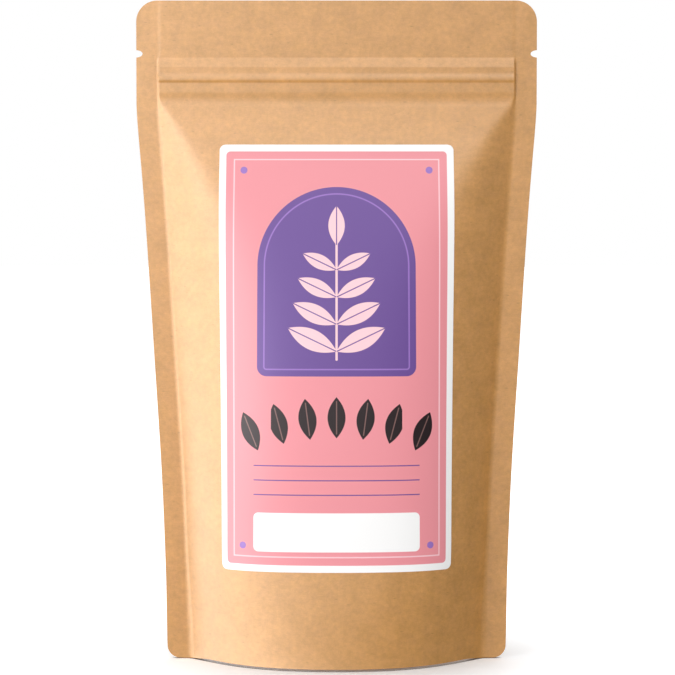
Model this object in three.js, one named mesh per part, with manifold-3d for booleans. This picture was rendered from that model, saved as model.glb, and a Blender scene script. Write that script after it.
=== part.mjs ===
// A filled stand-up pouch of brown kraft laminate: two panels and a folded bottom gusset, welded at the
// edges, a press-to-close zip near the top, a paper label on the front and whole beans inside.
// Millimetres, +Z up, the front faces -Y, and the origin is on the floor under the middle of the pouch.
import * as THREE from "three";
import { mergeVertices } from "three/addons/utils/BufferGeometryUtils.js";
import Module from "manifold-3d";

// Driving dimensions of the flat pouch
const pouchWidth = 129;
const pouchHeight = 213;
const sideSeal = 7;
const topCornerRadius = 5.2;
const bottomCornerRadius = 4;
const sheet = 0.6; // wall of each web, thicker than the real 0.15 mm laminate so that it holds as a solid
const gap = 0.3; // clearance kept between neighbouring pieces

// Tear notches, one in each side seal
const notchHeight = 196;
const notchDepth = 2.1;
const notchHalf = 1.15;

// Press-to-close zip
const zipBottom = 181.5;
const zipTop = 194.8;
const zipRib = 188.2;
const zipReach = 54; // half its length, and the panels come together past it
const flange = 0.45;
const hook = 0.3;

// Bulge of the filled pouch
const bulgeTop = 180; // the panels start to part here, at the foot of the zip
const wallAngleMost = 1.12; // radians, the steepest slope of the walls beside the side seals
const wallAnglePower = [0.8, 0.29]; // how the slope eases out towards the zip
const footHeight = 40; // below this the gusset spreads the panels into a rounder section
const footDip = 0.165; // share of the slope that the walls lose at the very foot
const ridgeShare = { foot: 0.4, body: 0.55, zip: 0.98 }; // place of the soft ridges, of the half span
const ridgeSoft = { foot: 0.34, body: 0.3, zip: 0.05 }; // how round the ridges are
const ridgeFall = 30; // how fast the ridges run in from the zip's corners, going down
const creaseHalf = 1.25; // half the width of the crease along a side seal

// Bottom gusset: the height of its weld to the panels
const weldMiddle = 6;
const weldSide = 36;
const weldPower = 2.2;
const gussetSpan = 55;
const gussetFlat = 0.42; // share of the depth that lies flat on the floor
const gussetHang = 1.3; // how much more the web hangs below its welds at the sides than in the middle

// Label
const labelWidth = 75;
const labelBottom = 31.1;
const labelTop = 166.7;
const labelRadius = 2.6;
const labelSheet = 0.4;

// Beans
const beanHalf = [15.5, 6.2, 4.7]; // half the length, width and thickness
const beanSlim = 0.18; // share of its width and thickness that a bean loses towards its ends
const beanCount = 64;
const beanSpacing = 1.8; // between neighbours, in half lengths, widths and thicknesses; 2 would just touch
const beanShift = 0.4; // how far chance moves a bean from its place in the stack
const beanTurn = [0.12, 0.06, 0.12]; // radians, how far chance turns it
const beanClear = 1.2; // kept between a bean and the webs
const heapBottom = 2.5; // underside of the lowest layer
const beanSeed = 7;

// Values that follow from the driving dimensions
const halfWidth = pouchWidth / 2;
const halfSpan = halfWidth - sideSeal;
const seamOffset = (gap + sheet) / 2; // middle of a panel's wall from the seam plane, where the seals meet
const zipHalf = (3 * flange + 3 * hook + 2 * gap) / 2; // half the thickness of the closed zip
const zipLift = zipHalf + gap + sheet / 2 - seamOffset;
const gussetInset = sheet + gap;

const smooth = (from, to, value) => THREE.MathUtils.smoothstep(value, from, to);
const mix = THREE.MathUtils.lerp;

// The cross-section of the front panel at height z. The wall leaves each side seal at an angle, runs
// straight for a while and turns over two soft ridges into the middle; the angle is integrated along the
// paper, so the web keeps its flat width. Distances s run along the paper from the centre line.
const steps = 260;
const sections = new Map();
function section(z) {
  if (sections.has(z)) return sections.get(z);
  const nearZip = Math.exp(-Math.max(0, bulgeTop - z) / ridgeFall);
  const nearFoot = 1 - smooth(0, footHeight, z);
  const along = ({ foot, body, zip }) => mix(mix(body, foot, nearFoot), zip, nearZip);
  const ridge = along(ridgeShare);
  const soft = along(ridgeSoft);
  const [rise, ease] = wallAnglePower;
  const easing = Math.pow(1 - Math.pow(Math.min(1, z / bulgeTop), rise), ease);
  const wall = wallAngleMost * easing * (1 - footDip * nearFoot);
  const angleAt = (s) => {
    const u = s / halfSpan;
    const turn = (Math.tanh((u - ridge) / soft) + Math.tanh((u + ridge) / soft)) / 2;
    return wall * turn * (1 - smooth(halfSpan - creaseHalf, halfSpan + creaseHalf, s));
  };
  const across = [0];
  const fall = [0];
  const step = halfWidth / steps;
  for (let i = 0; i < steps; i++) {
    const angle = angleAt((i + 0.5) * step);
    across.push(across[i] + step * Math.cos(angle));
    fall.push(fall[i] + step * Math.sin(angle));
  }
  const lift =
    zipLift * (smooth(zipBottom - 6, zipBottom - 0.5, z) - smooth(zipTop + 0.5, zipTop + 6, z));
  const made = { across, fall, angleAt, lift };
  sections.set(z, made);
  return made;
}

// A point of a panel's wall: s along the paper, z up, and out, the distance from the middle of the wall.
// side is -1 for the front panel and +1 for the back one.
function panelPoint(side, s, z, out = 0) {
  const { across, fall, angleAt, lift } = section(z);
  const at = (Math.abs(s) / halfWidth) * steps;
  const i = Math.min(steps - 1, Math.floor(at));
  const x = mix(across[i], across[i + 1], at - i);
  const bulge = fall[steps] - mix(fall[i], fall[i + 1], at - i);
  const raised = lift * (1 - smooth(zipReach, zipReach + 3, Math.abs(s)));
  const angle = angleAt(Math.abs(s));
  return new THREE.Vector3(
    Math.sign(s) * (x + out * Math.sin(angle)),
    side * (seamOffset + bulge + raised + out * Math.cos(angle)),
    z,
  );
}

// A closed sheet: point(column, row, face) for the two faces, 0 and 1, joined along the rim. Face 0 is
// the one that shows its columns running to the right with its rows running up.
function sheetGeometry(columns, rows, point) {
  const positions = [];
  const faceSize = columns * rows;
  for (const face of [0, 1]) {
    for (let row = 0; row < rows; row++) {
      for (let column = 0; column < columns; column++) positions.push(...point(column, row, face));
    }
  }
  const at = (column, row, face) => face * faceSize + row * columns + column;
  const index = [];
  const quad = (a, b, c, d) => index.push(a, b, c, a, c, d);
  for (let row = 0; row + 1 < rows; row++) {
    for (let column = 0; column + 1 < columns; column++) {
      const corners = [
        [column, row],
        [column + 1, row],
        [column + 1, row + 1],
        [column, row + 1],
      ];
      const [a, b, c, d] = corners;
      // Both faces are split along the same diagonal, so that stacked sheets stay clear of each other
      quad(at(...a, 0), at(...b, 0), at(...c, 0), at(...d, 0));
      quad(at(...a, 1), at(...d, 1), at(...c, 1), at(...b, 1));
    }
  }
  const rim = [];
  for (let column = 0; column < columns; column++) rim.push([column, 0]);
  for (let row = 1; row < rows; row++) rim.push([columns - 1, row]);
  for (let column = columns - 2; column >= 0; column--) rim.push([column, rows - 1]);
  for (let row = rows - 2; row > 0; row--) rim.push([0, row]);
  rim.forEach((from, i) => {
    const to = rim[(i + 1) % rim.length];
    quad(at(...from, 0), at(...from, 1), at(...to, 1), at(...to, 0));
  });
  const geometry = new THREE.BufferGeometry();
  geometry.setAttribute("position", new THREE.Float32BufferAttribute(positions, 3));
  geometry.setIndex(index);
  geometry.computeVertexNormals();
  return geometry;
}

// Heights of the corner arcs, from a corner's tangent point to its edge
const arcSteps = 3;
const arcHeights = (radius) =>
  Array.from({ length: arcSteps }, (_, i) => radius * Math.sin((Math.PI / 2) * ((i + 1) / arcSteps)));

// Half the flat width of a panel at height z: straight sides, round corners and the tear notch
function edgeAt(z) {
  const low = Math.max(0, bottomCornerRadius - z);
  const high = Math.max(0, z - (pouchHeight - topCornerRadius));
  const corner = low > 0 ? bottomCornerRadius : topCornerRadius;
  const cut = corner - Math.sqrt(Math.max(0, corner ** 2 - Math.max(low, high) ** 2));
  const inNotch = Math.max(0, 1 - ((z - notchHeight) / notchHalf) ** 2);
  return halfWidth - (low + high > 0 ? cut : 0) - notchDepth * Math.sqrt(inNotch);
}

const spaced = (from, to, count) =>
  Array.from({ length: count + 1 }, (_, i) => mix(from, to, i / count));

// The label shares the panel's heights behind it, so that the two stay the same distance apart
const labelRows = spaced(labelBottom, labelTop, 13);

const panelRows = [
  ...arcHeights(bottomCornerRadius).map((h) => bottomCornerRadius - h).toReversed(),
  ...spaced(bottomCornerRadius, labelBottom, 2),
  ...labelRows.slice(1),
  ...[172, 176, 178.5, zipBottom, zipRib, notchHeight - notchHalf],
  ...[-0.75, 0, 0.75, 1].map((share) => notchHeight + share * notchHalf),
  pouchHeight - topCornerRadius,
  ...arcHeights(topCornerRadius).map((h) => pouchHeight - topCornerRadius + h),
];

const spanColumns = [0, 6.5, 13, 19.5, 26, 32, labelWidth / 2, 43, 48.5, 53.5];
const panelColumns = [
  ...spanColumns,
  halfSpan - creaseHalf,
  halfSpan + creaseHalf,
  halfWidth,
];
const mirrored = (half) => [...half.slice(1).toReversed().map((s) => -s), ...half];

// One panel of the pouch, front or back
function panelGeometry(side) {
  const columns = mirrored(panelColumns);
  return sheetGeometry(columns.length, panelRows.length, (column, row, face) => {
    const z = panelRows[row];
    const flat = columns[column];
    const s = Math.abs(flat) === halfWidth ? Math.sign(flat) * edgeAt(z) : flat;
    const outward = face === 0 ? 1 : -1;
    return panelPoint(side, side < 0 ? s : -s, z, (outward * sheet) / 2);
  });
}

// Height of the weld that joins the gusset to a panel, which rises towards the side seals
const weldHeight = (s) => weldMiddle + (weldSide - weldMiddle) * (Math.abs(s) / halfSpan) ** weldPower;

// The web of the gusset between its two welds: it sags under the filling and rests on the floor in the
// middle. across runs from -1 at the front weld to +1 at the back one.
function gussetHeight(s, across) {
  const weld = weldHeight(s);
  const hang = (weldMiddle - sheet / 2) * (1 + gussetHang * (Math.abs(s) / halfSpan));
  const lowered = hang * (1 - smooth(gussetFlat, 1, Math.abs(across)));
  return Math.max(sheet / 2, weld - lowered);
}

// The bottom gusset: a leg up the inside of the front panel, the web across and a leg down the back
function gussetGeometry() {
  const columns = mirrored([0, 7, 14, 21, 28, 35, 42, 48.5, gussetSpan]);
  const legRows = [0, 0.55, 0.9];
  const webRows = [-0.97, -0.86, -0.65, -gussetFlat, -0.2];
  const path = [
    ...legRows.map((share) => ({ side: -1, share })),
    ...[...webRows, ...webRows.toReversed().map((a) => -a)].map((across) => ({ across })),
    ...legRows.toReversed().map((share) => ({ side: 1, share })),
  ];
  return sheetGeometry(columns.length, path.length, (column, row, face) => {
    const s = columns[column];
    const weld = weldHeight(s);
    const { side, share, across } = path[row];
    const half = face === 0 ? sheet / 2 : -sheet / 2;
    if (side) return panelPoint(side, s, weld * share, half - gussetInset);
    const from = panelPoint(-1, s, weld, -gussetInset);
    const to = panelPoint(1, s, weld, -gussetInset);
    const point = from.clone().lerp(to, (across + 1) / 2);
    point.z = gussetHeight(s, across) + half;
    return point;
  });
}

// A strip of the zip: its profile, drawn across the pouch and upwards, extruded along the pouch
function zipGeometry(profile) {
  const shape = new THREE.Shape(profile.map(([y, z]) => new THREE.Vector2(y, z)));
  const length = 2 * (zipReach - gap);
  const geometry = new THREE.ExtrudeGeometry(shape, { depth: length, bevelEnabled: false });
  // The profile's two axes become Y and Z, and the extrusion runs along X
  geometry.applyMatrix4(new THREE.Matrix4().set(0, 0, 1, -length / 2, 1, 0, 0, 0, 0, 1, 0, 0, 0, 0, 0, 1));
  return geometry;
}

// Heights of the rib, its barbs and the jaws above and below the middle of the zip
const stem = 0.3;
const mouth = stem + gap;
const barb = mouth + 0.2;
const jaw = barb + gap;
const jawOuter = jaw + 0.6;

// The front strip carries an arrow-shaped rib
function zipRibProfile() {
  const back = -zipHalf + flange;
  const barbBack = back + gap + hook + gap;
  const tip = barbBack + flange + hook;
  return [
    [-zipHalf, zipBottom],
    [back, zipBottom],
    [back, zipRib - stem],
    [barbBack, zipRib - stem],
    [barbBack, zipRib - barb],
    [tip, zipRib - stem],
    [tip, zipRib + stem],
    [barbBack, zipRib + barb],
    [barbBack, zipRib + stem],
    [back, zipRib + stem],
    [back, zipTop],
    [-zipHalf, zipTop],
  ];
}

// The back strip carries two hooked jaws that close round the rib
function zipJawProfile() {
  const front = zipHalf - flange;
  const tip = -zipHalf + flange + gap;
  const jawOf = (sign) => [
    [front, zipRib + sign * jawOuter],
    [tip, zipRib + sign * jawOuter],
    [tip, zipRib + sign * mouth],
    [tip + hook, zipRib + sign * mouth],
    [tip + hook, zipRib + sign * jaw],
    [front, zipRib + sign * jaw],
  ];
  return [
    [zipHalf, zipBottom],
    [zipHalf, zipTop],
    [front, zipTop],
    ...jawOf(1),
    ...jawOf(-1).toReversed(),
    [front, zipBottom],
  ];
}

// The label lies on the front panel and follows its bulge
function labelGeometry() {
  const half = labelWidth / 2;
  const columns = mirrored(spanColumns.filter((s) => s <= half));
  const arc = arcHeights(labelRadius);
  const rows = [
    ...arc.map((h) => labelBottom + labelRadius - h).toReversed(),
    labelBottom + labelRadius,
    ...labelRows.slice(1, -1),
    labelTop - labelRadius,
    ...arc.map((h) => labelTop - labelRadius + h),
  ];
  return sheetGeometry(columns.length, rows.length, (column, row, face) => {
    const z = rows[row];
    const past = Math.max(labelBottom + labelRadius - z, z - (labelTop - labelRadius), 0);
    const cut = labelRadius - Math.sqrt(labelRadius ** 2 - Math.min(past, labelRadius) ** 2);
    const flat = columns[column];
    const s = Math.abs(flat) === half ? Math.sign(flat) * (half - cut) : flat;
    const onPanel = sheet / 2 + gap;
    return panelPoint(-1, s, z, onPanel + (face === 0 ? labelSheet : 0));
  });
}

// A repeatable run of numbers between 0 and 1
function seededNumbers(seed) {
  let state = seed >>> 0;
  return () => {
    state = (Math.imul(state, 1664525) + 1013904223) >>> 0;
    return state / 2 ** 32;
  };
}

// A bean: a flattened almond, blunt at both ends
function beanGeometry() {
  const geometry = new THREE.SphereGeometry(1, 6, 5);
  const position = geometry.getAttribute("position");
  const point = new THREE.Vector3();
  for (let i = 0; i < position.count; i++) {
    point.fromBufferAttribute(position, i);
    const along = point.y;
    const slim = 1 - beanSlim * along ** 2;
    position.setXYZ(i, along * beanHalf[0], point.x * slim * beanHalf[1], -point.z * slim * beanHalf[2]);
  }
  return geometry;
}

// Whether a point is inside the pouch, clear of the panels and of the gusset
function insidePouch(point) {
  const { across, fall } = section(Math.round(point.z * 2) / 2);
  const place = across.findIndex((x) => x >= Math.abs(point.x));
  if (place < 0) return false;
  const s = (place / steps) * halfWidth;
  const depth = seamOffset + fall[steps] - fall[place] - sheet / 2 - beanClear;
  const floorHere = gussetHeight(s, Math.min(1, Math.abs(point.y) / Math.max(depth, 1)));
  return Math.abs(point.y) < depth && point.z > floorHere + sheet / 2 + beanClear;
}

// Places of the beans: they lie in layers like stacked shot, each turned and moved a little by chance, and
// only those that fit between the webs are kept, from the bottom up
function beanPlaces() {
  const chance = seededNumbers(beanSeed);
  const within = (reach) => (chance() * 2 - 1) * reach;
  const shape = beanGeometry().getAttribute("position");
  const corner = new THREE.Vector3();
  const rowStep = Math.sqrt(3) / 2;
  const layerStep = Math.sqrt(2 / 3);
  const places = [];
  for (let layer = 0; places.length < beanCount; layer++) {
    for (let row = -4; row <= 4; row++) {
      for (let column = -3; column <= 3; column++) {
        const cell = [
          column + (row % 2 ? 0.5 : 0) + (layer % 2 ? 0.5 : 0),
          row * rowStep + (layer % 2 ? rowStep / 3 : 0),
          layer * layerStep,
        ];
        const centre = cell.map((c, axis) => c * beanSpacing * beanHalf[axis] + within(beanShift));
        const turn = new THREE.Euler(...beanTurn.map(within));
        const place = new THREE.Matrix4().makeRotationFromEuler(turn);
        place.setPosition(centre[0], centre[1], centre[2] + beanHalf[2] + heapBottom);
        let fits = true;
        for (let i = 0; i < shape.count && fits; i++) {
          fits = insidePouch(corner.fromBufferAttribute(shape, i).applyMatrix4(place));
        }
        if (fits && places.length < beanCount) places.push(place);
      }
    }
  }
  return places;
}

// The heap of beans, joined where they touch into one body
async function beanHeapGeometry() {
  const wasm = await Module();
  wasm.setup();
  const solidOf = (geometry) => {
    geometry.deleteAttribute("normal");
    geometry.deleteAttribute("uv");
    const merged = mergeVertices(geometry, 1e-3);
    return new wasm.Manifold(
      new wasm.Mesh({
        numProp: 3,
        vertProperties: merged.getAttribute("position").array,
        triVerts: new Uint32Array(merged.getIndex().array),
      }),
    );
  };
  const heap = beanPlaces()
    .map((place) => solidOf(beanGeometry().applyMatrix4(place)))
    .reduce((joined, bean) => joined.add(bean));
  // Hollows that the beans close off come out as bodies of negative volume, and are left out
  const [largest] = heap.decompose().sort((a, b) => b.volume() - a.volume());
  const mesh = largest.getMesh();
  const geometry = new THREE.BufferGeometry();
  geometry.setAttribute("position", new THREE.BufferAttribute(mesh.vertProperties, 3));
  geometry.setIndex(new THREE.BufferAttribute(mesh.triVerts, 1));
  geometry.computeVertexNormals();
  return geometry;
}

// Finishes
const kraft = { color: 0xd7a471, roughness: 0.6, metalness: 0 };
const paperLabel = { color: 0xf5aab2, roughness: 0.55, metalness: 0 };
const zipPlastic = { color: 0xe8e8e4, roughness: 0.35, metalness: 0 };
const beanSkin = { color: 0x1d1512, roughness: 0.45, metalness: 0 };

function piece(name, geometry, finish) {
  const mesh = new THREE.Mesh(geometry, new THREE.MeshStandardMaterial(finish));
  mesh.name = name;
  return mesh;
}

const pouch = new THREE.Group();
pouch.name = "stand_up_pouch";
pouch.add(
  piece("front_panel", panelGeometry(-1), kraft),
  piece("back_panel", panelGeometry(1), kraft),
  piece("bottom_gusset", gussetGeometry(), kraft),
  piece("zip_rib_strip", zipGeometry(zipRibProfile()), zipPlastic),
  piece("zip_jaw_strip", zipGeometry(zipJawProfile()), zipPlastic),
  piece("front_label", labelGeometry(), paperLabel),
  piece("beans", await beanHeapGeometry(), beanSkin),
);

export default pouch;
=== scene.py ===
import bpy
import numpy as np
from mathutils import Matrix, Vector


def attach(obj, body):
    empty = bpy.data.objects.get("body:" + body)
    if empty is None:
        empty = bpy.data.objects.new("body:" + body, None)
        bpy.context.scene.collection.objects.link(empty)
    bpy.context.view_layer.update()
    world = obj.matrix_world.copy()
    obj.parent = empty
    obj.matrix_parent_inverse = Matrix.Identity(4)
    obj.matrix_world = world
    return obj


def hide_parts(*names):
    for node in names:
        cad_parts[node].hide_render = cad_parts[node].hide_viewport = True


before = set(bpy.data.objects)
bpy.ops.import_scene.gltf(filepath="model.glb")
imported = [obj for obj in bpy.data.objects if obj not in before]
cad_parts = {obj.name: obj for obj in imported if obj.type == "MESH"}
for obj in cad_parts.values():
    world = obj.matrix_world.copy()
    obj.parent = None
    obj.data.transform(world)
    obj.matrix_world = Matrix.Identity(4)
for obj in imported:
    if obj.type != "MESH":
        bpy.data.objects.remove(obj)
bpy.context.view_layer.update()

# Front and back panels
# Two webs of brown kraft paper laminated to a clear film, cut with round corners and heat-welded to each
# other down both sides. A press-to-close zip inside shows through as a relief of ribs.
MM = 0.001
pouch_height = 213.0
half_width = 64.5
side_seal = 7.0
half_span = half_width - side_seal
web = 0.2
seam = 0.55 * web
top_corner = 6.8
bottom_corner = 4.0
notch_height = 195.9
notch_depth = 2.0
notch_half = 1.15
edge_lift = 0.6
lift_height = 6.0
lift_ends = (47.0, 57.0)

# The bulge: the wall's slope, and the place and roundness of its ridges as shares of the half span
bulge_top = 180.0
foot_height = 40.0
wall_slope = 1.12
foot_ease = 0.15
belly = 0.024
belly_height = 60.0
belly_half = 30.0
ridge_body = 0.55
ridge_foot = 0.42
ridge_zip = 0.98
ridge_run = 34.0
soft_body = 0.3
soft_foot = 0.34
soft_zip = 0.02
soft_run = 45.0
seal_crease = 1.25
foot_crease = 1.7

# The zip's relief: each stretch of heights, and how far it rises or drops
mouth_levels = (190.0, 194.7)
ramp_levels = (191.6, 194.7)
ridge_levels = (187.9, 189.9)
drop_levels = (186.5, 187.5)
foot_levels = (181.2, 183.9)
run_out_levels = (168.0, 181.2)
mouth_gap = 0.06
ramp_rise = 0.9
ridge_rise = 0.46
ridge_drop = 0.42
foot_drop = 0.3
run_out = ramp_rise + ridge_rise - ridge_drop - foot_drop
step_half = 0.25
below_levels = (174.0, 183.0)
above_levels = (194.0, 196.0)
below_spread = 3.0
above_spread = 0.8


def smooth(low, high, value):
    """Goes from 0 at low to 1 at high along the cubic three t squared minus two t cubed."""
    t = np.clip((value - low) / (high - low), 0, 1)
    return t * t * (3 - 2 * t)


def hump(centre, half, value):
    """A bell of height 1: e to the minus square of the distance from the centre in halves."""
    return np.exp(-(((value - centre) / half) ** 2))


def wall_angle(s, z):
    """Angle of the paper from the seam plane at a distance s along it from the centre line. The wall leaves
    the seal at one slope and turns over two soft ridges into the middle: half the sum of two tanh steps at
    plus and minus the ridge's place, times the slope, fading to nothing across the crease at the seal.
    Going up, the ridges run out to the seals at the zip, and the slope eases to nothing at the bulge's top:
    one less the share of the height to the power 0.8, all to the power 0.3."""
    near_zip = np.exp(-np.maximum(0, bulge_top - z) / ridge_run)
    near_foot = 1 - smooth(0, foot_height, z)
    ridge = ridge_body + (ridge_foot - ridge_body) * near_foot
    ridge = ridge + (ridge_zip - ridge) * near_zip
    soft = soft_body + (soft_foot - soft_body) * near_foot
    soft = soft + (soft_zip - soft) * hump(bulge_top, soft_run, z)
    slope = wall_slope * (1 - np.minimum(1, z / bulge_top) ** 0.8) ** 0.3
    slope = slope * (1 - foot_ease * near_foot) * (1 + belly * hump(belly_height, belly_half, z))
    share = s / half_span
    turn = (np.tanh((share - ridge) / soft) + np.tanh((share + ridge) / soft)) / 2
    crease = seal_crease + foot_crease * near_foot
    return slope * turn * (1 - smooth(half_span - crease, half_span + seal_crease, s))


def zip_relief(s, z):
    """How far the closed zip pushes a panel out, going down from the top: a straight ramp onto the flange,
    a soft rise to the ridge of the interlocking ribs, a sharp drop under it, and a soft foot that runs out
    into the bulge. The loose webs above stand a little apart. All of it stops in a step at the side seals,
    which is softer below and above the zip."""
    mouth = mouth_gap * smooth(*mouth_levels, z)
    ramp = ramp_rise * (1 - np.interp(z, ramp_levels, (0, 1)))
    ridge = ridge_rise * (1 - smooth(*ridge_levels, z)) - ridge_drop * (1 - smooth(*drop_levels, z))
    foot = -foot_drop * (1 - smooth(*foot_levels, z)) - run_out * (1 - smooth(*run_out_levels, z))
    spread = step_half + below_spread * (1 - smooth(*below_levels, z))
    spread = spread + above_spread * smooth(*above_levels, z)
    step = 1 - smooth(half_span - spread, half_span + step_half, np.abs(s))
    return (mouth + ramp + ridge + foot) * step


def foot_gap(flat, z):
    """How far the cut edge at the foot stands off the floor between the corners, easing out upwards."""
    return edge_lift * (1 - smooth(0, lift_height, z)) * (1 - smooth(*lift_ends, np.abs(flat)))


def paper_points(flat, z, out):
    """Points of the front web in millimetres. flat is the distance along the paper from the centre line and
    out the distance from the middle of the web. The wall's angle is added up along the paper, its cosine
    across and its sine outwards, so the web keeps its flat width."""
    count = 1300
    step = half_width / count
    angle = wall_angle((np.arange(count) + 0.5)[None, :] * step, z)
    start = np.zeros((len(z), 1))
    across = np.hstack([start, np.cumsum(np.cos(angle) * step, axis=1)])
    fall = np.hstack([start, np.cumsum(np.sin(angle) * step, axis=1)])
    place = np.abs(flat) / step
    low = np.minimum(place.astype(int), count - 1)
    part = place - low

    def at(values):
        lower = np.take_along_axis(values, low, axis=1)
        upper = np.take_along_axis(values, low + 1, axis=1)
        return lower + part * (upper - lower)

    tilt = wall_angle(np.abs(flat), z)
    push = out + zip_relief(flat, z)
    x = np.sign(flat) * (at(across) + push * np.sin(tilt))
    y = -(seam + fall[:, -1:] - at(fall) + push * np.cos(tilt))
    return np.stack([x, y, z + foot_gap(flat, z)], axis=-1)


def spaced(*stretches):
    """Joins stretches given as (from, to, step), sharing the ends."""
    lines = [np.linspace(a, b, max(2, round((b - a) / step) + 1)) for a, b, step in stretches]
    return np.unique(np.concatenate(lines).round(4))


def panel_edge(z):
    """Half the flat width at height z: straight sides less a quarter circle at each corner and less half an
    ellipse at the tear notch."""
    low = np.maximum(0, bottom_corner - z)
    high = np.maximum(0, z - (pouch_height - top_corner))
    cut = bottom_corner - np.sqrt(np.maximum(0, bottom_corner**2 - low**2))
    cut = cut + top_corner - np.sqrt(np.maximum(0, top_corner**2 - high**2))
    notch = notch_depth * np.sqrt(np.maximum(0, 1 - ((z - notch_height) / notch_half) ** 2))
    return half_width - cut - notch


def mirrored(half):
    """The stretch from 0 outwards, with its mirror image before it."""
    return np.concatenate([-half[:0:-1], half])


def sheet_mesh(name, outer, inner, uv):
    """A closed sheet from two grids of points in millimetres, rows up and columns to the right as seen from
    outside, with its own points along the rim so that the rim keeps a sharp edge."""
    rows, columns = outer.shape[:2]
    index = np.arange(rows * columns).reshape(rows, columns)
    a, b, c, d = index[:-1, :-1], index[:-1, 1:], index[1:, 1:], index[1:, :-1]
    front = np.stack([a, b, c, d], axis=-1).reshape(-1, 4)
    back = np.stack([a, d, c, b], axis=-1).reshape(-1, 4) + rows * columns
    ring = np.concatenate([index[0], index[1:, -1], index[-1, -2::-1], index[-2:0:-1, 0]])
    near = 2 * rows * columns + np.arange(len(ring))
    far = near + len(ring)
    rim = np.stack([near, far, np.roll(far, -1), np.roll(near, -1)], axis=-1)
    flat_outer, flat_inner = outer.reshape(-1, 3), inner.reshape(-1, 3)
    points = np.concatenate([flat_outer, flat_inner, flat_outer[ring], flat_inner[ring]]) * MM
    flat_uv = uv.reshape(-1, 2) * MM
    point_uv = np.concatenate([flat_uv, flat_uv, flat_uv[ring], flat_uv[ring]])
    faces = np.concatenate([front, back, rim])
    mesh = bpy.data.meshes.new(name)
    mesh.from_pydata(points, [], faces)
    mesh.shade_smooth()
    layer = mesh.uv_layers.new(name="flat")
    layer.uv.foreach_set("vector", point_uv[faces.ravel()].astype(np.float32).ravel())
    piece = bpy.data.objects.new(name, mesh)
    bpy.context.scene.collection.objects.link(piece)
    return piece


# Rows close up at the round corners and over the zip, and columns at the seals' inner edges
straight_rows = spaced(
    (bottom_corner, 168, 1.8),
    (168, 181, 0.8),
    (181, 194.4, 0.2),
    (194.4, 197.3, 0.1),
    (197.3, pouch_height - top_corner, 1.0),
)
corner_rows = 1 - np.sin(np.linspace(0, np.pi / 2, 20))
panel_rows = [bottom_corner * corner_rows, straight_rows, pouch_height - top_corner * corner_rows]
panel_rows = np.unique(np.concatenate(panel_rows).round(4))[:, None]
panel_columns = mirrored(spaced((0, 52, 1.6), (52, 60.5, 0.25), (60.5, half_width, 0.75)))[None, :]

# The columns past this distance are drawn in to the cut edge
trim_from = 54.0
margin = np.maximum(0, np.abs(panel_columns) - trim_from) / (half_width - trim_from)
trim = margin * (half_width - panel_edge(panel_rows))
panel_flat = np.sign(panel_columns) * (np.abs(panel_columns) - trim)
panel_uv = np.stack([panel_flat, np.broadcast_to(panel_rows, panel_flat.shape)], axis=-1)
panel_outer = paper_points(panel_flat, panel_rows, web / 2)
panel_inner = paper_points(panel_flat, panel_rows, -web / 2)
front_panel = sheet_mesh("kraft_front", panel_outer, panel_inner, panel_uv)

# The back panel is the front one turned round, with another patch of the paper
turn_round = np.array([-1, -1, 1])
back_uv = panel_uv + np.array([400, 0])
back_panel = sheet_mesh("kraft_back", panel_outer * turn_round, panel_inner * turn_round, back_uv)


def put(tree, socket, value):
    """A socket takes a link from another socket, or a plain value."""
    if isinstance(value, bpy.types.NodeSocket):
        tree.links.new(value, socket)
    else:
        socket.default_value = value


def add(tree, kind, inputs=None, **settings):
    """Adds a node, with its settings and its named inputs."""
    node = tree.nodes.new(kind)
    for name, value in settings.items():
        setattr(node, name, value)
    for name, value in (inputs or {}).items():
        put(tree, node.inputs[name], value)
    return node


def calc(tree, operation, *values):
    """A sum, product or other operation on sockets and values."""
    node = tree.nodes.new("ShaderNodeMath")
    node.operation = operation
    for socket, value in zip(node.inputs, values):
        put(tree, socket, value)
    return node.outputs[0]


def blend(tree, factor, first, second, mode="MIX"):
    """The first colour with the second over it, by the factor."""
    node = add(tree, "ShaderNodeMix", data_type="RGBA", blend_type=mode)
    put(tree, node.inputs[0], factor)
    put(tree, node.inputs[6], first)
    put(tree, node.inputs[7], second)
    return node.outputs[2]


def group(name, inputs, outputs):
    """A shader group with named sockets: inputs as (name, kind, default), outputs as (name, kind)."""
    tree = bpy.data.node_groups.new(name, "ShaderNodeTree")
    for label, kind, default in inputs:
        socket = tree.interface.new_socket(label, in_out="INPUT", socket_type="NodeSocket" + kind)
        socket.default_value = default
    for label, kind in outputs:
        tree.interface.new_socket(label, in_out="OUTPUT", socket_type="NodeSocket" + kind)
    enter = tree.nodes.new("NodeGroupInput").outputs
    leave = tree.nodes.new("NodeGroupOutput").inputs
    return tree, enter, leave


def use(tree, shared, inputs):
    """Places a shared group in a tree and returns its outputs."""
    node = add(tree, "ShaderNodeGroup", node_tree=shared)
    for name, value in inputs.items():
        put(tree, node.inputs[name], value)
    return node.outputs


def linear(red, green, blue):
    """A colour picked in display values from 0 to 255, as scene-linear values."""
    value = np.array([red, green, blue]) / 255
    low = value / 12.92
    high = ((value + 0.055) / 1.055) ** 2.4
    return (*np.where(value <= 0.04045, low, high).tolist(), 1.0)


def material(name):
    """A new material and its tree and shader."""
    made = bpy.data.materials.new(name)
    made.use_nodes = True
    tree = made.node_tree
    return made, tree, tree.nodes["Principled BSDF"]


def flat_millimetres(tree):
    """The piece's own flat coordinates, in millimetres of paper."""
    flat = add(tree, "ShaderNodeUVMap", uv_map="flat")
    return add(
        tree,
        "ShaderNodeVectorMath",
        {0: flat.outputs[0], "Scale": 1000.0},
        operation="SCALE",
    ).outputs[0]


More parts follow.
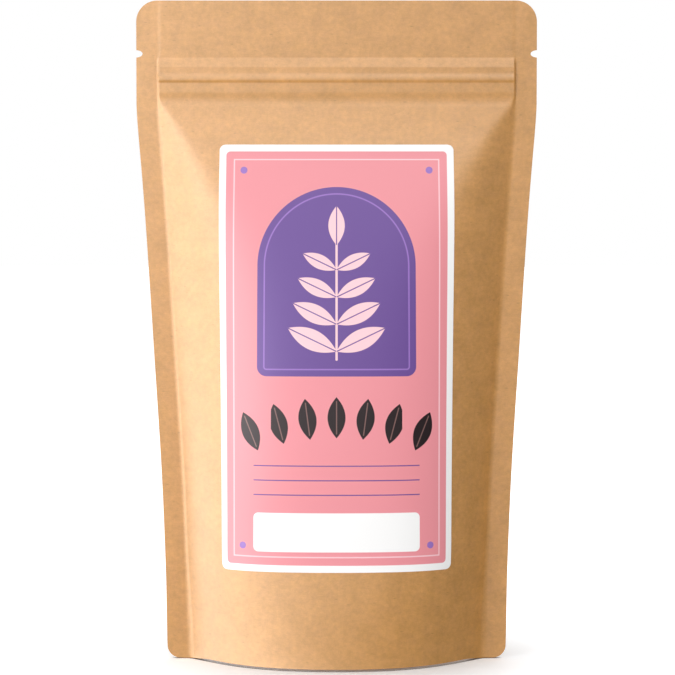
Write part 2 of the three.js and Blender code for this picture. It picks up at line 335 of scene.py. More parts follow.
# The look of kraft paper: soft clouds, fine mottling, short fibres lying every way and a few dark flecks
kraft_fibre, enter, leave = group(
    "kraft fibre",
    [("Flat", "Vector", (0, 0, 0)), ("Colour", "Color", (0.6, 0.3, 0.1, 1)), ("Contrast", "Float", 1.0)],
    [("Colour", "Color"), ("Height", "Float")],
)


def uneven(place, scale, detail, distortion=0.0):
    """Noise about zero, with that many turns in a millimetre."""
    turns = {"Scale": scale, "Detail": detail, "Roughness": 0.55, "Distortion": distortion}
    noise = add(kraft_fibre, "ShaderNodeTexNoise", {"Vector": place, **turns}).outputs[0]
    return calc(kraft_fibre, "SUBTRACT", noise, 0.5)


fibres = 0.0
for turn in (0.2, 1.25, 2.3):
    lay = add(kraft_fibre, "ShaderNodeMapping", {"Rotation": (0, 0, turn), "Scale": (0.45, 3.4, 1)})
    put(kraft_fibre, lay.inputs["Vector"], enter["Flat"])
    fibres = calc(kraft_fibre, "MAXIMUM", uneven(lay.outputs[0], 1.0, 2.0, 0.6), fibres)
clouds = uneven(enter["Flat"], 0.13, 4.0)
mottling = uneven(enter["Flat"], 0.62, 3.0)
grain = uneven(enter["Flat"], 2.4, 2.0)
tint = uneven(enter["Flat"], 0.28, 3.0)
fleck_place = add(kraft_fibre, "ShaderNodeMapping", {"Rotation": (0, 0, 0.5), "Scale": (0.55, 1.3, 1)})
put(kraft_fibre, fleck_place.inputs["Vector"], enter["Flat"])
fleck_distance = add(
    kraft_fibre,
    "ShaderNodeTexVoronoi",
    {"Vector": fleck_place.outputs[0], "Scale": 0.3, "Randomness": 1.0},
).outputs["Distance"]
flecks = calc(kraft_fibre, "SUBTRACT", 1.0, calc(kraft_fibre, "MULTIPLY", fleck_distance, 9.0))
flecks = calc(kraft_fibre, "MAXIMUM", flecks, 0.0)
tone = calc(kraft_fibre, "MULTIPLY", fibres, 0.16)
for layer, amount in ((clouds, 0.24), (mottling, 0.23), (grain, 0.12), (flecks, -0.16)):
    tone = calc(kraft_fibre, "MULTIPLY_ADD", layer, amount, tone)
tone = calc(kraft_fibre, "MULTIPLY", tone, enter["Contrast"])
bright = calc(kraft_fibre, "ADD", tone, 1.0)
paler = calc(kraft_fibre, "MULTIPLY_ADD", tint, 0.45, calc(kraft_fibre, "MULTIPLY_ADD", tone, 1.7, 1.0))
shade = add(kraft_fibre, "ShaderNodeCombineColor", {0: bright, 1: bright, 2: paler}).outputs[0]
put(kraft_fibre, leave["Colour"], blend(kraft_fibre, 1.0, enter["Colour"], shade, "MULTIPLY"))
roughness = calc(kraft_fibre, "ADD", mottling, grain)
put(kraft_fibre, leave["Height"], calc(kraft_fibre, "ADD", roughness, fibres))

kraft_colour = linear(197, 140, 67)
kraft, tree, shader = material("kraft laminate")
fibre_inputs = {"Flat": flat_millimetres(tree), "Colour": kraft_colour, "Contrast": 1.8}
fibre = use(tree, kraft_fibre, fibre_inputs)
put(tree, shader.inputs["Base Color"], fibre["Colour"])
paper_bump = add(
    tree,
    "ShaderNodeBump",
    {"Strength": 0.3, "Distance": 0.00003, "Height": fibre["Height"]},
)
put(tree, shader.inputs["Normal"], paper_bump.outputs[0])
shader.inputs["Roughness"].default_value = 0.5
shader.inputs["Specular IOR Level"].default_value = 1.0
for panel, node in ((front_panel, "front_panel"), (back_panel, "back_panel")):
    panel.data.materials.append(kraft)
    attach(panel, "root")
    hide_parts(node)

# Bottom gusset
# A third web folded up between the panels and welded inside both along a curve that rises to the side
# seals. The filling presses its middle down onto the floor.
weld_middle = 6.0
weld_rise = 30.0
gusset_columns = mirrored(spaced((0, 55, 1.1)))[None, :]
leg_share = np.linspace(0, 0.97, 14)[:, None]
web_across = np.linspace(-0.985, 0.985, 61)[:, None]
wall_levels = np.linspace(0, 40, 161)[:, None]


def weld_at(s):
    """Height of the weld to the panels at a distance s from the centre line, rising to the side seals."""
    return weld_middle + weld_rise * (np.abs(s) / half_span) ** 2.2


def gusset_height(s, across):
    """The web between its welds, across from -1 at the front to 1 at the back. Its middle sags below the
    welds by a share that is whole over the centre and eases to none at the welds, down to the floor."""
    hang = (weld_middle - web / 2) * (1 + 1.3 * np.abs(s) / half_span)
    return np.maximum(web / 2, weld_at(s) - hang * (1 - smooth(0.42, 1, np.abs(across))))


def on_wall(height, out):
    """Points against a panel's inside at the given heights, read off between close level lines."""
    flat = np.broadcast_to(gusset_columns, (len(wall_levels), gusset_columns.shape[1]))
    wall = paper_points(flat, wall_levels, out)
    place = height / wall_levels[1, 0]
    low = np.minimum(place.astype(int), len(wall_levels) - 2)
    part = (place - low)[..., None]
    column = np.arange(gusset_columns.shape[1])[None, :]
    return wall[low, column] * (1 - part) + wall[low + 1, column] * part


def gusset_points(out):
    """Up the inside of the front panel, across from weld to weld and down the inside of the back panel."""
    leg = on_wall(leg_share * weld_at(gusset_columns), out - 1.1 * web)
    weld = on_wall(weld_at(gusset_columns), -1.1 * web)
    height = gusset_height(gusset_columns, web_across) + out
    x = np.broadcast_to(weld[..., 0], height.shape)
    y = -web_across * weld[..., 1]
    middle = np.stack([x, y, height], axis=-1)
    return np.concatenate([leg, middle, leg[::-1] * np.array([1, -1, 1])])


gusset_top = gusset_points(web / 2)
gusset_uv = np.stack(
    [
        np.broadcast_to(gusset_columns, gusset_top.shape[:2]) + 800,
        np.broadcast_to(np.linspace(0, 70, len(gusset_top))[:, None], gusset_top.shape[:2]),
    ],
    axis=-1,
)
gusset = sheet_mesh("kraft_gusset", gusset_top, gusset_points(-web / 2), gusset_uv)
gusset.data.materials.append(kraft)
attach(gusset, "root")
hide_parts("bottom_gusset")

# Zip strips
# Two strips of milky polyethylene welded inside the panels, below the tear notches. A barbed rib on the
# front strip snaps between two hooked jaws on the back one.
zip_bottom = 182.4
zip_top = 194.2
zip_middle = 188.0
zip_reach = 56.2
flange = 0.16
zip_clear = 0.02

# Heights above the zip's middle, then places across the seam plane
rib_half = 0.3
barb_half = 0.8
jaw_mouth = 0.6
jaw_inner = 1.1
jaw_outer = 1.6
rib_barb = -0.12
rib_tip = 0.16
jaw_tip = -0.24
jaw_hook = 0.08


def flange_faces(z):
    """Where a strip's two faces lie from the seam plane: the outer just inside the panel at that height,
    and the inner a flange's thickness behind it, kept off the other strip."""
    outer = seam + zip_relief(0.0, z) - web / 2 - zip_clear
    return outer, np.maximum(zip_clear, outer - flange)


def strip_mesh(name, middle, side):
    """The flange's profile, with the middle profile of (across, height) points set into its inner face,
    drawn along the pouch and closed at both ends. side is -1 for the front strip and 1 for the back one."""
    middle = np.array(middle)
    above = np.linspace(zip_top, zip_middle + middle[0, 1], 24)
    below = np.linspace(zip_middle + middle[-1, 1], zip_bottom, 24)
    outer_z = np.linspace(zip_bottom, zip_top, 60)
    loop = np.concatenate(
        [
            np.stack([side * flange_faces(above)[1], above], axis=-1),
            middle[1:-1] + np.array([0, zip_middle]),
            np.stack([side * flange_faces(below)[1], below], axis=-1),
            np.stack([side * flange_faces(outer_z)[0], outer_z], axis=-1),
        ]
    )[::-side]
    count = len(loop)
    points = np.zeros((2, count, 3))
    points[:, :, 0] = np.array([[-zip_reach], [zip_reach]])
    points[:, :, 1:] = loop
    near = np.arange(count)
    ahead = np.roll(near, -1)
    sides = np.stack([near, ahead, ahead + count, near + count], axis=-1).tolist()
    ends = [near[::-1].tolist(), (near + count).tolist()]
    mesh = bpy.data.meshes.new(name)
    mesh.from_pydata(points.reshape(-1, 3) * MM, [], sides + ends)
    piece = bpy.data.objects.new(name, mesh)
    bpy.context.scene.collection.objects.link(piece)
    return piece


def mirrored_below(points):
    """The points above the zip's middle, in order, and the same below it, in the reverse order."""
    return [*points, *[(y, -z) for y, z in reversed(points)]]


# The first and last point of each only give the height where it leaves the flange
rib = [(0, rib_half), (rib_barb, rib_half), (rib_barb, barb_half), (rib_tip, rib_half)]
rib_strip = strip_mesh("zip_rib", mirrored_below(rib), -1)
root = flange_faces(np.array([zip_middle + jaw_inner, zip_middle - jaw_inner]))[1]
jaw = [(0, jaw_outer), (jaw_tip, jaw_outer), (jaw_tip, jaw_mouth), (jaw_tip + jaw_hook, jaw_mouth)]
jaw_strip = strip_mesh(
    "zip_jaws",
    [
        *jaw,
        (jaw_tip + jaw_hook, jaw_inner),
        (root[0], jaw_inner),
        (root[1], -jaw_inner),
        (jaw_tip + jaw_hook, -jaw_inner),
        *[(y, -z) for y, z in reversed(jaw)],
    ],
    1,
)

# Milky plastic with faint streaks along the strip, from the extrusion
zip_plastic, tree, shader = material("milky polyethylene")
zip_place = add(tree, "ShaderNodeTexCoord").outputs["Object"]
streak_place = add(tree, "ShaderNodeMapping", {"Vector": zip_place, "Scale": (60, 4000, 4000)}).outputs[0]
streaks = add(tree, "ShaderNodeTexNoise", {"Vector": streak_place, "Scale": 1.0, "Detail": 2.0}).outputs[0]
milky = blend(tree, streaks, linear(222, 222, 214), linear(240, 240, 236))
put(tree, shader.inputs["Base Color"], milky)
put(tree, shader.inputs["Roughness"], calc(tree, "MULTIPLY_ADD", streaks, 0.2, 0.26))
shader.inputs["Subsurface Weight"].default_value = 0.2
shader.inputs["Subsurface Radius"].default_value = (0.001, 0.001, 0.001)
for strip, node in ((rib_strip, "zip_rib_strip"), (jaw_strip, "zip_jaw_strip")):
    strip.data.materials.append(zip_plastic)
    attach(strip, "root")
    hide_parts(node)

# Label
# A self-adhesive sheet of coated paper with round corners, stuck to the front panel so that it follows
# the bulge. It is printed pink inside a white border with a plain leaf and seed ornament.
label_half = 37.5
label_bottom = 31.1
label_top = 166.7
label_corner = 1.9
label_middle = (label_top - label_bottom) / 2
label_border = 2.2
label_sheet = 0.12
label_glue = 0.02

# The sides spread towards the foot by this share of the width
label_flare = 0.03
label_rows = spaced(
    (label_bottom, label_bottom + label_corner, 0.19),
    (label_bottom + label_corner, label_top - label_corner, 1.4),
    (label_top - label_corner, label_top, 0.19),
)[:, None]
label_columns = np.linspace(-1, 1, 61)[None, :]
past = np.maximum(label_bottom + label_corner - label_rows, label_rows - label_top + label_corner)
past = np.clip(past, 0, label_corner)
label_across = label_columns * (label_half - label_corner + np.sqrt(label_corner**2 - past**2))
label_uv = np.stack([label_across, np.broadcast_to(label_rows - label_bottom, label_across.shape)], axis=-1)
label_flat = label_across * (1 + label_flare * (label_top - label_rows) / (label_top - label_bottom))
label = sheet_mesh(
    "label_sheet",
    paper_points(label_flat, label_rows, web / 2 + label_glue + label_sheet),
    paper_points(label_flat, label_rows, web / 2 + label_glue),
    label_uv,
)

# A rounded box on the flat label: the usual distance to its edge, below zero inside
rounded_box, enter, leave = group(
    "rounded box",
    [
        ("X", "Float", 0.0),
        ("Y", "Float", 0.0),
        ("Centre X", "Float", 0.0),
        ("Centre Y", "Float", 0.0),
        ("Half X", "Float", 1.0),
        ("Half Y", "Float", 1.0),
        ("Radius", "Float", 0.0),
    ],
    [("Distance", "Float")],
)
overs = []
for axis in "XY":
    from_centre = calc(rounded_box, "SUBTRACT", enter[axis], enter[f"Centre {axis}"])
    reach = calc(rounded_box, "ABSOLUTE", from_centre)
    inset_half = calc(rounded_box, "SUBTRACT", enter[f"Half {axis}"], enter["Radius"])
    overs.append(calc(rounded_box, "SUBTRACT", reach, inset_half))
outside = [calc(rounded_box, "MAXIMUM", over, 0.0) for over in overs]
corner_square = calc(
    rounded_box,
    "ADD",
    calc(rounded_box, "POWER", outside[0], 2.0),
    calc(rounded_box, "POWER", outside[1], 2.0),
)
inside = calc(rounded_box, "MINIMUM", calc(rounded_box, "MAXIMUM", *overs), 0.0)
distance = calc(rounded_box, "ADD", calc(rounded_box, "SQRT", corner_square), inside)
put(rounded_box, leave["Distance"], calc(rounded_box, "SUBTRACT", distance, enter["Radius"]))

# A pointed leaf standing on the origin, turned to one side: a parabola on each side of its midrib
leaf_shape, enter, leave = group(
    "leaf",
    [
        ("X", "Float", 0.0),
        ("Y", "Float", 0.0),
        ("Turn", "Float", 0.0),
        ("Length", "Float", 1.0),
        ("Width", "Float", 1.0),
    ],
    [("Distance", "Float"), ("Midrib", "Float")],
)
cosine = calc(leaf_shape, "COSINE", enter["Turn"])
sine = calc(leaf_shape, "SINE", enter["Turn"])
aside = calc(
    leaf_shape,
    "SUBTRACT",
    calc(leaf_shape, "MULTIPLY", enter["X"], cosine),
    calc(leaf_shape, "MULTIPLY", enter["Y"], sine),
)
along = calc(
    leaf_shape,
    "ADD",
    calc(leaf_shape, "MULTIPLY", enter["X"], sine),
    calc(leaf_shape, "MULTIPLY", enter["Y"], cosine),
)
share = calc(leaf_shape, "SUBTRACT", calc(leaf_shape, "DIVIDE", along, enter["Length"]), 0.5)
square = calc(leaf_shape, "MULTIPLY", share, share)
bow = calc(leaf_shape, "MULTIPLY_ADD", square, -4.0, 1.0)
half_leaf = calc(leaf_shape, "MULTIPLY", calc(leaf_shape, "MULTIPLY", enter["Width"], 0.5), bow)
midrib = calc(leaf_shape, "ABSOLUTE", aside)
put(leaf_shape, leave["Distance"], calc(leaf_shape, "SUBTRACT", midrib, half_leaf))
put(leaf_shape, leave["Midrib"], midrib)

label_print, tree, shader = material("printed label")
flat_place = add(tree, "ShaderNodeSeparateXYZ", {0: flat_millimetres(tree)}).outputs
label_x, label_y = flat_place[0], flat_place[1]


def inked(distance, soft=0.07):
    """1 where the distance is below zero and 0 outside, with a print edge of that softness."""
    edge = add(tree, "ShaderNodeMapRange", interpolation_type="SMOOTHSTEP")
    for name, value in (("From Min", -soft), ("From Max", soft), ("To Min", 1.0), ("To Max", 0.0)):
        edge.inputs[name].default_value = value
    put(tree, edge.inputs["Value"], distance)
    return edge.outputs[0]


def box(centre, half, radius, x=None, y=None):
    """Distance to a rounded box on the label, or on other coordinates where they are given."""
    places = {"X": x or label_x, "Y": y or label_y, "Centre X": centre[0], "Centre Y": centre[1]}
    return use(tree, rounded_box, {**places, "Half X": half[0], "Half Y": half[1], "Radius": radius})[0]


def line(distance, inset, width):
    """A line of that width, inset from an edge."""
    return calc(tree, "SUBTRACT", calc(tree, "ABSOLUTE", calc(tree, "ADD", distance, inset)), width / 2)


def repeated(value, start, spacing, first, last):
    """Repeats a motif along one direction: which one a point is nearest to, and its place from it."""
    along = calc(tree, "SUBTRACT", value, start)
    steps = calc(tree, "ROUND", calc(tree, "DIVIDE", along, spacing))
    which = calc(tree, "MINIMUM", calc(tree, "MAXIMUM", steps, first), last)
    return which, calc(tree, "MULTIPLY_ADD", which, -spacing, along)


white_paper = linear(250, 249, 248)
pink_ink = linear(236, 147, 155)
pale_ink = linear(252, 205, 212)
purple_ink = linear(105, 72, 148)
lilac_ink = linear(152, 112, 192)
dark_ink = linear(40, 27, 30)
ink = white_paper
across_label = calc(tree, "ABSOLUTE", label_x)
up_label = calc(tree, "ABSOLUTE", calc(tree, "SUBTRACT", label_y, label_middle))

# The pink field, with a thin pale line inside its edge and a dot in each corner
field_half = (label_half - label_border, label_middle - label_border)
field = box((0, label_middle), field_half, 1.3)
ink = blend(tree, inked(field), ink, pink_ink)
ink = blend(tree, inked(line(field, 2.6, 0.4)), ink, pale_ink)
ink = blend(tree, inked(box((29.6, 59.6), (1.1, 1.1), 1.1, across_label, up_label)), ink, lilac_ink)

# The purple arch, with its own thin line and a pale sprig of paired leaves
arch_middle = 92.0
arch_half = 25.0
arch_corner = 3.0
arch_top = calc(tree, "GREATER_THAN", label_y, arch_middle)
arch_radius = calc(tree, "MULTIPLY_ADD", arch_top, arch_half - arch_corner, arch_corner)
arch = box((0, arch_middle), (arch_half, 30), arch_radius)
ink = blend(tree, inked(arch), ink, purple_ink)
ink = blend(tree, inked(line(arch, 2.2, 0.45)), ink, lilac_ink)
stem = box((0, 86), (0.36, 19), 0.3)
ink = blend(tree, inked(stem), ink, pale_ink)


def veined(ink, edge, rib):
    """A pale leaf with a purple line along its midrib."""
    ink = blend(tree, inked(edge), ink, pale_ink)
    vein = calc(tree, "MAXIMUM", edge, calc(tree, "SUBTRACT", rib, 0.18))
    return blend(tree, inked(vein), ink, purple_ink)


sprig_bottom = 69.5
pair_height = 8.6
leaf_length = 17.0
leaf_width = 6.4
pair, pair_y = repeated(label_y, sprig_bottom + pair_height / 2, pair_height, 0, 3)
leaf_size = calc(tree, "MULTIPLY_ADD", pair, -0.1, 1.0)
leaf_places = {"X": across_label, "Y": calc(tree, "ADD", pair_y, pair_height / 2 - 0.4), "Turn": 1.12}
leaf_sizes = {
    "Length": calc(tree, "MULTIPLY", leaf_size, leaf_length),
    "Width": calc(tree, "MULTIPLY", leaf_size, leaf_width),
}
ink = veined(ink, *use(tree, leaf_shape, {**leaf_places, **leaf_sizes}))
tip_place = {"X": label_x, "Y": calc(tree, "SUBTRACT", label_y, 103.5), "Turn": 0.0}
ink = veined(ink, *use(tree, leaf_shape, {**tip_place, "Length": 12.5, "Width": 5.2}))

# A fan of dark seeds under the arch
seed_spacing = 8.2
seed_foot = 42.5
seed_lean = 0.13
which_seed, seed_x = repeated(label_x, 0.0, seed_spacing, -3, 3)
seed_drop = calc(tree, "MULTIPLY", calc(tree, "POWER", calc(tree, "ABSOLUTE", which_seed), 2.0), 0.45)
seed_y = calc(tree, "ADD", calc(tree, "SUBTRACT", label_y, seed_foot), seed_drop)
seed_turn = calc(tree, "MULTIPLY", which_seed, seed_lean)
seed_edge, seed_rib = use(
    tree,
    leaf_shape,
    {"X": seed_x, "Y": seed_y, "Turn": seed_turn, "Length": 13.0, "Width": 5.6},
)
ink = blend(tree, inked(seed_edge), ink, dark_ink)
groove = calc(tree, "MAXIMUM", calc(tree, "ADD", seed_edge, 0.9), calc(tree, "SUBTRACT", seed_rib, 0.17))
ink = blend(tree, inked(groove), ink, linear(128, 92, 88))

# Three ruled lines and a blank white box to write in
rule_bottom = 24.5
rule_spacing = 4.6
rule_half = 26.0
rule_y = repeated(label_y, rule_bottom, rule_spacing, 0, 2)[1]
ink = blend(tree, inked(box((0, 0), (rule_half, 0.17), 0.1, None, rule_y)), ink, purple_ink)
blank = box((0, 12.6), (rule_half, 6.2), 1.6)
ink = blend(tree, inked(blank), ink, white_paper)

# The coating, a little uneven in its sheen
put(tree, shader.inputs["Base Color"], ink)
coating_place = {"Vector": flat_millimetres(tree), "Scale": 1.6, "Detail": 4.0}
coating = add(tree, "ShaderNodeTexNoise", coating_place).outputs[0]
put(tree, shader.inputs["Roughness"], calc(tree, "MULTIPLY_ADD", coating, 0.16, 0.38))
coating_bump = add(tree, "ShaderNodeBump", {"Strength": 0.25, "Distance": 0.00001, "Height": coating})
put(tree, shader.inputs["Normal"], coating_bump.outputs[0])
shader.inputs["Specular IOR Level"].default_value = 0.4
label.data.materials.append(label_print)
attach(label, "root")
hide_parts("front_label")

# Beans
# Whole dried beans, flattened almonds with a dark skin wrinkled lengthwise, loose inside the closed pouch.
# They lie in layers like stacked shot, each moved and turned a little by chance, from the gusset up.
bean_half = np.array([15.5, 6.2, 4.7])
bean_slim = 0.18
bean_count = 64
bean_spacing = 1.8
bean_shift = 0.4
bean_turn = np.array([0.12, 0.06, 0.12])
bean_clear = 1.0
bean_scale = 0.92
heap_bottom = 2.5
heap_layers = 24


def seeded_numbers(seed, count):
    """A repeatable run of numbers from -1 to 1: each state is the last one times a fixed factor plus a
    fixed step, kept to 32 bits."""
    states = []
    for _ in range(count):
        seed = (seed * 1664525 + 1013904223) % 2**32
        states.append(seed)
    return np.array(states) / 2**31 - 1


def turned(points, angles):
    """Turns each bean's points about Z, then Y, then X."""
    x, y, z = np.moveaxis(points, -1, 0)
    turn_x, turn_y, turn_z = np.moveaxis(angles, -1, 0)
    x, y = x * np.cos(turn_z) - y * np.sin(turn_z), x * np.sin(turn_z) + y * np.cos(turn_z)
    x, z = x * np.cos(turn_y) + z * np.sin(turn_y), z * np.cos(turn_y) - x * np.sin(turn_y)
    y, z = y * np.cos(turn_x) - z * np.sin(turn_x), y * np.sin(turn_x) + z * np.cos(turn_x)
    return np.stack([x, y, z], axis=-1)


def bean_points(down, around, wrinkle, blunt):
    """Points on a bean lying along X: a ball stretched to its three half sizes, slimmer towards its ends
    by a share of the square of the place along it, and drawn in by the wrinkle. down goes from end to end
    and around goes round it. blunt is the power of the sine of down: below 1 the ends are blunter."""
    along = np.cos(down)
    girth = np.sin(down) ** blunt * (1 - bean_slim * along**2) * (1 - wrinkle)
    ball = np.broadcast_arrays(along, -np.cos(around) * girth, -np.sin(around) * girth)
    return np.stack(ball, axis=-1) * bean_half


def inside_pouch(points):
    """Whether points are clear of the panels and of the gusset, from the walls' depth read off a grid of
    levels and distances from the middle."""
    flat = np.linspace(0, half_span, 231)[None, :] + np.zeros((360, 1))
    levels = np.arange(360)[:, None] * 0.5
    wall = paper_points(flat, levels, 0)
    grid = np.arange(4 * half_span) / 4
    depth = np.array([np.interp(grid, row[:, 0], -row[:, 1], right=0) for row in wall])
    place = np.array([np.interp(grid, row[:, 0], flat[0]) for row in wall])
    level = np.clip(np.rint(points[..., 2] * 2).astype(int), 0, 359)
    column = np.minimum(np.ceil(np.abs(points[..., 0]) * 4).astype(int), len(grid) - 1)
    room = depth[level, column] - bean_clear
    off_middle = np.abs(points[..., 1])
    bottom = gusset_height(place[level, column], np.minimum(1, off_middle / np.maximum(room, 1)))
    return (off_middle < room) & (points[..., 2] > bottom + bean_clear)


# Cells of the heap from the bottom up, and the first ones whose bean lies wholly inside the pouch
layer, row, column = np.meshgrid(np.arange(heap_layers), np.arange(-4, 5), np.arange(-3, 4), indexing="ij")
row_step = np.sqrt(3) / 2
cell = [
    column + 0.5 * (row % 2) + 0.5 * (layer % 2),
    row * row_step + (layer % 2) * row_step / 3,
    layer * np.sqrt(2 / 3),
]
cell = np.stack(cell, axis=-1).reshape(-1, 3)
chance = seeded_numbers(7, 6 * len(cell)).reshape(-1, 6)
centres = cell * bean_spacing * bean_half + chance[:, :3] * bean_shift
centres = centres + np.array([0, 0, bean_half[2] + heap_bottom])
angles = chance[:, 3:] * bean_turn
coarse = bean_points(np.linspace(0, np.pi, 6)[:, None], np.linspace(0, 2 * np.pi, 7)[None, :], 0, 1)
coarse = turned(coarse.reshape(1, -1, 3), angles[:, None, :]) + centres[:, None, :]
kept = np.flatnonzero(inside_pouch(coarse).all(axis=1))[:bean_count]

# The skin of every bean at once: rings and spokes, with wavering furrows from end to end
down = np.linspace(0, np.pi, 31)[None, 1:-1, None]
around = np.linspace(0, 2 * np.pi, 37)[None, None, :-1]
furrow_depth = 0.04
phase = chance[kept, :3, None, None] * np.pi
waver = 1.3 * np.sin(5 * np.cos(down) + phase[:, 1])
furrow = np.sin(9 * around + phase[:, 0] + waver) + 0.6 * np.sin(16 * around + phase[:, 2] - 1.7 * waver)
skin = bean_points(down, around, furrow_depth * (1.6 - furrow), 0.85)
ends = bean_points(np.array([0, np.pi])[None, :, None], np.zeros((1, 1, 1)), 0, 1)
ends = np.broadcast_to(ends.reshape(1, 2, 3), (len(kept), 2, 3))
points = np.concatenate([skin.reshape(len(kept), -1, 3), ends], axis=1) * bean_scale
points = turned(points, angles[kept][:, None, :]) + centres[kept][:, None, :]
rings, spokes = skin.shape[1:3]
index = np.arange(rings * spokes).reshape(rings, spokes)
ahead = np.roll(index, -1, axis=1)
sides = np.stack([index[:-1], index[1:], ahead[1:], ahead[:-1]], axis=-1).reshape(-1, 4)
first = np.stack([np.full(spokes, rings * spokes), index[0], ahead[0]], axis=-1)
last = np.stack([index[-1], np.full(spokes, rings * spokes + 1), ahead[-1]], axis=-1)
start = (np.arange(len(kept)) * points.shape[1])[:, None, None]
bean_faces = [(start + part).reshape(-1, part.shape[1]).tolist() for part in (sides, first, last)]
bean_mesh = bpy.data.meshes.new("beans_loose")
bean_mesh.from_pydata(points.reshape(-1, 3) * MM, [], sum(bean_faces, []))
bean_mesh.shade_smooth()
beans = bpy.data.objects.new("beans_loose", bean_mesh)
bpy.context.scene.collection.objects.link(beans)

bean_skin, tree, shader = material("bean skin")
bean_place = add(tree, "ShaderNodeTexCoord").outputs["Object"]
wrinkles = add(
    tree,
    "ShaderNodeTexNoise",
    {"Vector": bean_place, "Scale": 700.0, "Detail": 3.0, "Distortion": 1.2},
).outputs[0]
put(tree, shader.inputs["Base Color"], blend(tree, wrinkles, linear(20, 14, 12), linear(52, 36, 30)))
wrinkle_bump = add(tree, "ShaderNodeBump", {"Strength": 0.6, "Distance": 0.0002, "Height": wrinkles})
put(tree, shader.inputs["Normal"], wrinkle_bump.outputs[0])
put(tree, shader.inputs["Roughness"], calc(tree, "MULTIPLY_ADD", wrinkles, 0.2, 0.32))
beans.data.materials.append(bean_skin)
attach(beans, "root")
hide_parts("beans")

# Floor, light and camera
# A plain white floor in a white room, with soft boxes to the left, in front, on the right and behind. Four
# more show only in the paper's shine: they brighten the left wall, and the right one falls into shade.
floor_half = 4.0
floor_drop = 0.0001
floor_mesh = bpy.data.meshes.new("floor")
floor_corners = np.array([(-1, -1, 0), (1, -1, 0), (1, 1, 0), (-1, 1, 0)]) * floor_half
floor_mesh.from_pydata(floor_corners - np.array([0, 0, floor_drop]), [], [(0, 1, 2, 3)])
floor = bpy.data.objects.new("floor", floor_mesh)
bpy.context.scene.collection.objects.link(floor)
floor_white, tree, shader = material("white floor")

# Painted shade: the floor is darkened by occlusion where the foot all but covers it, in a thin line, glow
# and all
open_floor = add(tree, "ShaderNodeAmbientOcclusion", {"Distance": 0.0016}).outputs["AO"]
open_range = {"Value": open_floor, "From Min": 0.6, "From Max": 0.95}
painted_openness = add(tree, "ShaderNodeMapRange", open_range).outputs[0]
put(tree, shader.inputs["Base Color"], blend(tree, painted_openness, linear(42, 26, 14), linear(236, 238, 240)))
shader.inputs["Roughness"].default_value = 0.9
shader.inputs["Specular IOR Level"].default_value = 0.1

# Away from the pouch's shade it is lifted to the white of the room, for the camera only
shader.inputs["Emission Color"].default_value = (1, 1, 1, 1)
floor_place = add(tree, "ShaderNodeTexCoord").outputs["Object"]
shade_middle = (0.006, 0, 0)
from_middle = add(tree, "ShaderNodeVectorMath", {0: floor_place, 1: shade_middle}, operation="DISTANCE")
glow = add(tree, "ShaderNodeMapRange", {"Value": from_middle.outputs["Value"]})
glow.inputs["From Min"].default_value = 0.025
glow.inputs["From Max"].default_value = 0.1
glow.inputs["To Min"].default_value = 0.05
glow.inputs["To Max"].default_value = 0.8
seen = add(tree, "ShaderNodeLightPath").outputs["Is Camera Ray"]
# The painted contact shade holds the camera glow back in the same thin line
lifted = calc(tree, "MULTIPLY", painted_openness, glow.outputs[0])
put(tree, shader.inputs["Emission Strength"], calc(tree, "MULTIPLY", seen, lifted))
floor_mesh.materials.append(floor_white)
floor.visible_diffuse = False
floor.visible_glossy = False

world = bpy.data.worlds.new("white room")
world.use_nodes = True
bpy.context.scene.world = world
tree = world.node_tree
room = tree.nodes["Background"]
seen = add(tree, "ShaderNodeLightPath").outputs["Is Camera Ray"]
room.inputs["Color"].default_value = (1, 1, 1, 1)
room_light = 0.53
put(tree, room.inputs["Strength"], calc(tree, "MAXIMUM", room_light, seen))
world.cycles_visibility.glossy = False


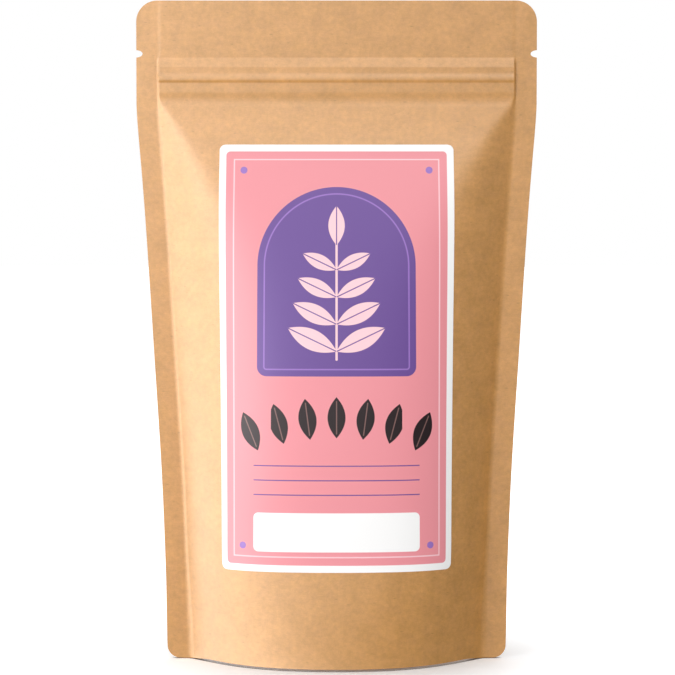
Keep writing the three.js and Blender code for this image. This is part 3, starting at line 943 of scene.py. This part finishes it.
def soft_light(name, place, aim, wide, tall, brightness, diffuse=True, glossy=True):
    """A rectangular soft box that gives off the same brightness all over its face. It can be held to the
    matt light on the paper, or to the shine, and then it casts no shadow."""
    lamp = bpy.data.lights.new(name, "AREA")
    lamp.shape = "RECTANGLE"
    lamp.size = wide
    lamp.size_y = tall
    lamp.energy = np.pi * wide * tall * brightness
    lamp.use_shadow = diffuse
    lamp_object = bpy.data.objects.new(name, lamp)
    lamp_object.location = place
    lamp_object.rotation_mode = "QUATERNION"
    lamp_object.rotation_quaternion = (Vector(aim) - Vector(place)).to_track_quat("-Z", "Y")
    lamp_object.visible_diffuse = diffuse
    lamp_object.visible_glossy = glossy
    bpy.context.scene.collection.objects.link(lamp_object)


pouch_middle = (0, 0, 0.11)
soft_light("front_left", (-0.3, -0.4, 0.12), pouch_middle, 0.3, 0.2, 6.6, glossy=False)
soft_light("front", (0, -1.0, 0.25), pouch_middle, 0.6, 0.4, 2.0, glossy=False)
soft_light("right", (0.7, -0.25, 0.27), pouch_middle, 0.5, 0.5, 0.75, glossy=False)
soft_light("back", (0.35, 1.1, 0.7), pouch_middle, 0.8, 0.8, 2.0)
soft_light("shine_side", (-0.52, -0.12, 0.06), (0, -0.12, 0.06), 0.9, 0.66, 5.2, diffuse=False)
soft_light("shine_left", (-0.3, -0.4, 0.25), pouch_middle, 0.3, 0.3, 5.8, diffuse=False)
soft_light("shine_front", (-0.2, -1.15, 0.75), pouch_middle, 0.8, 0.8, 1.9, diffuse=False)
soft_light("shine_top", (0, -0.25, 1.0), pouch_middle, 0.8, 0.8, 6.0, diffuse=False)

# The picture is this wide at the distance of the aim, in metres
view_width = 0.2185881
camera_place = Vector((0.0003, -0.95, 0.1576))
camera_aim = Vector((0.0003, 0, 0.1044))
camera_data = bpy.data.cameras.new("camera")
camera_data.sensor_width = 36
camera_data.lens = camera_data.sensor_width * (camera_aim - camera_place).length / view_width
camera = bpy.data.objects.new("camera", camera_data)
camera.location = camera_place
camera.rotation_mode = "QUATERNION"
camera.rotation_quaternion = (camera_aim - camera_place).to_track_quat("-Z", "Y")
bpy.context.scene.collection.objects.link(camera)
bpy.context.scene.camera = camera
bpy.context.scene.view_settings.view_transform = "Standard"
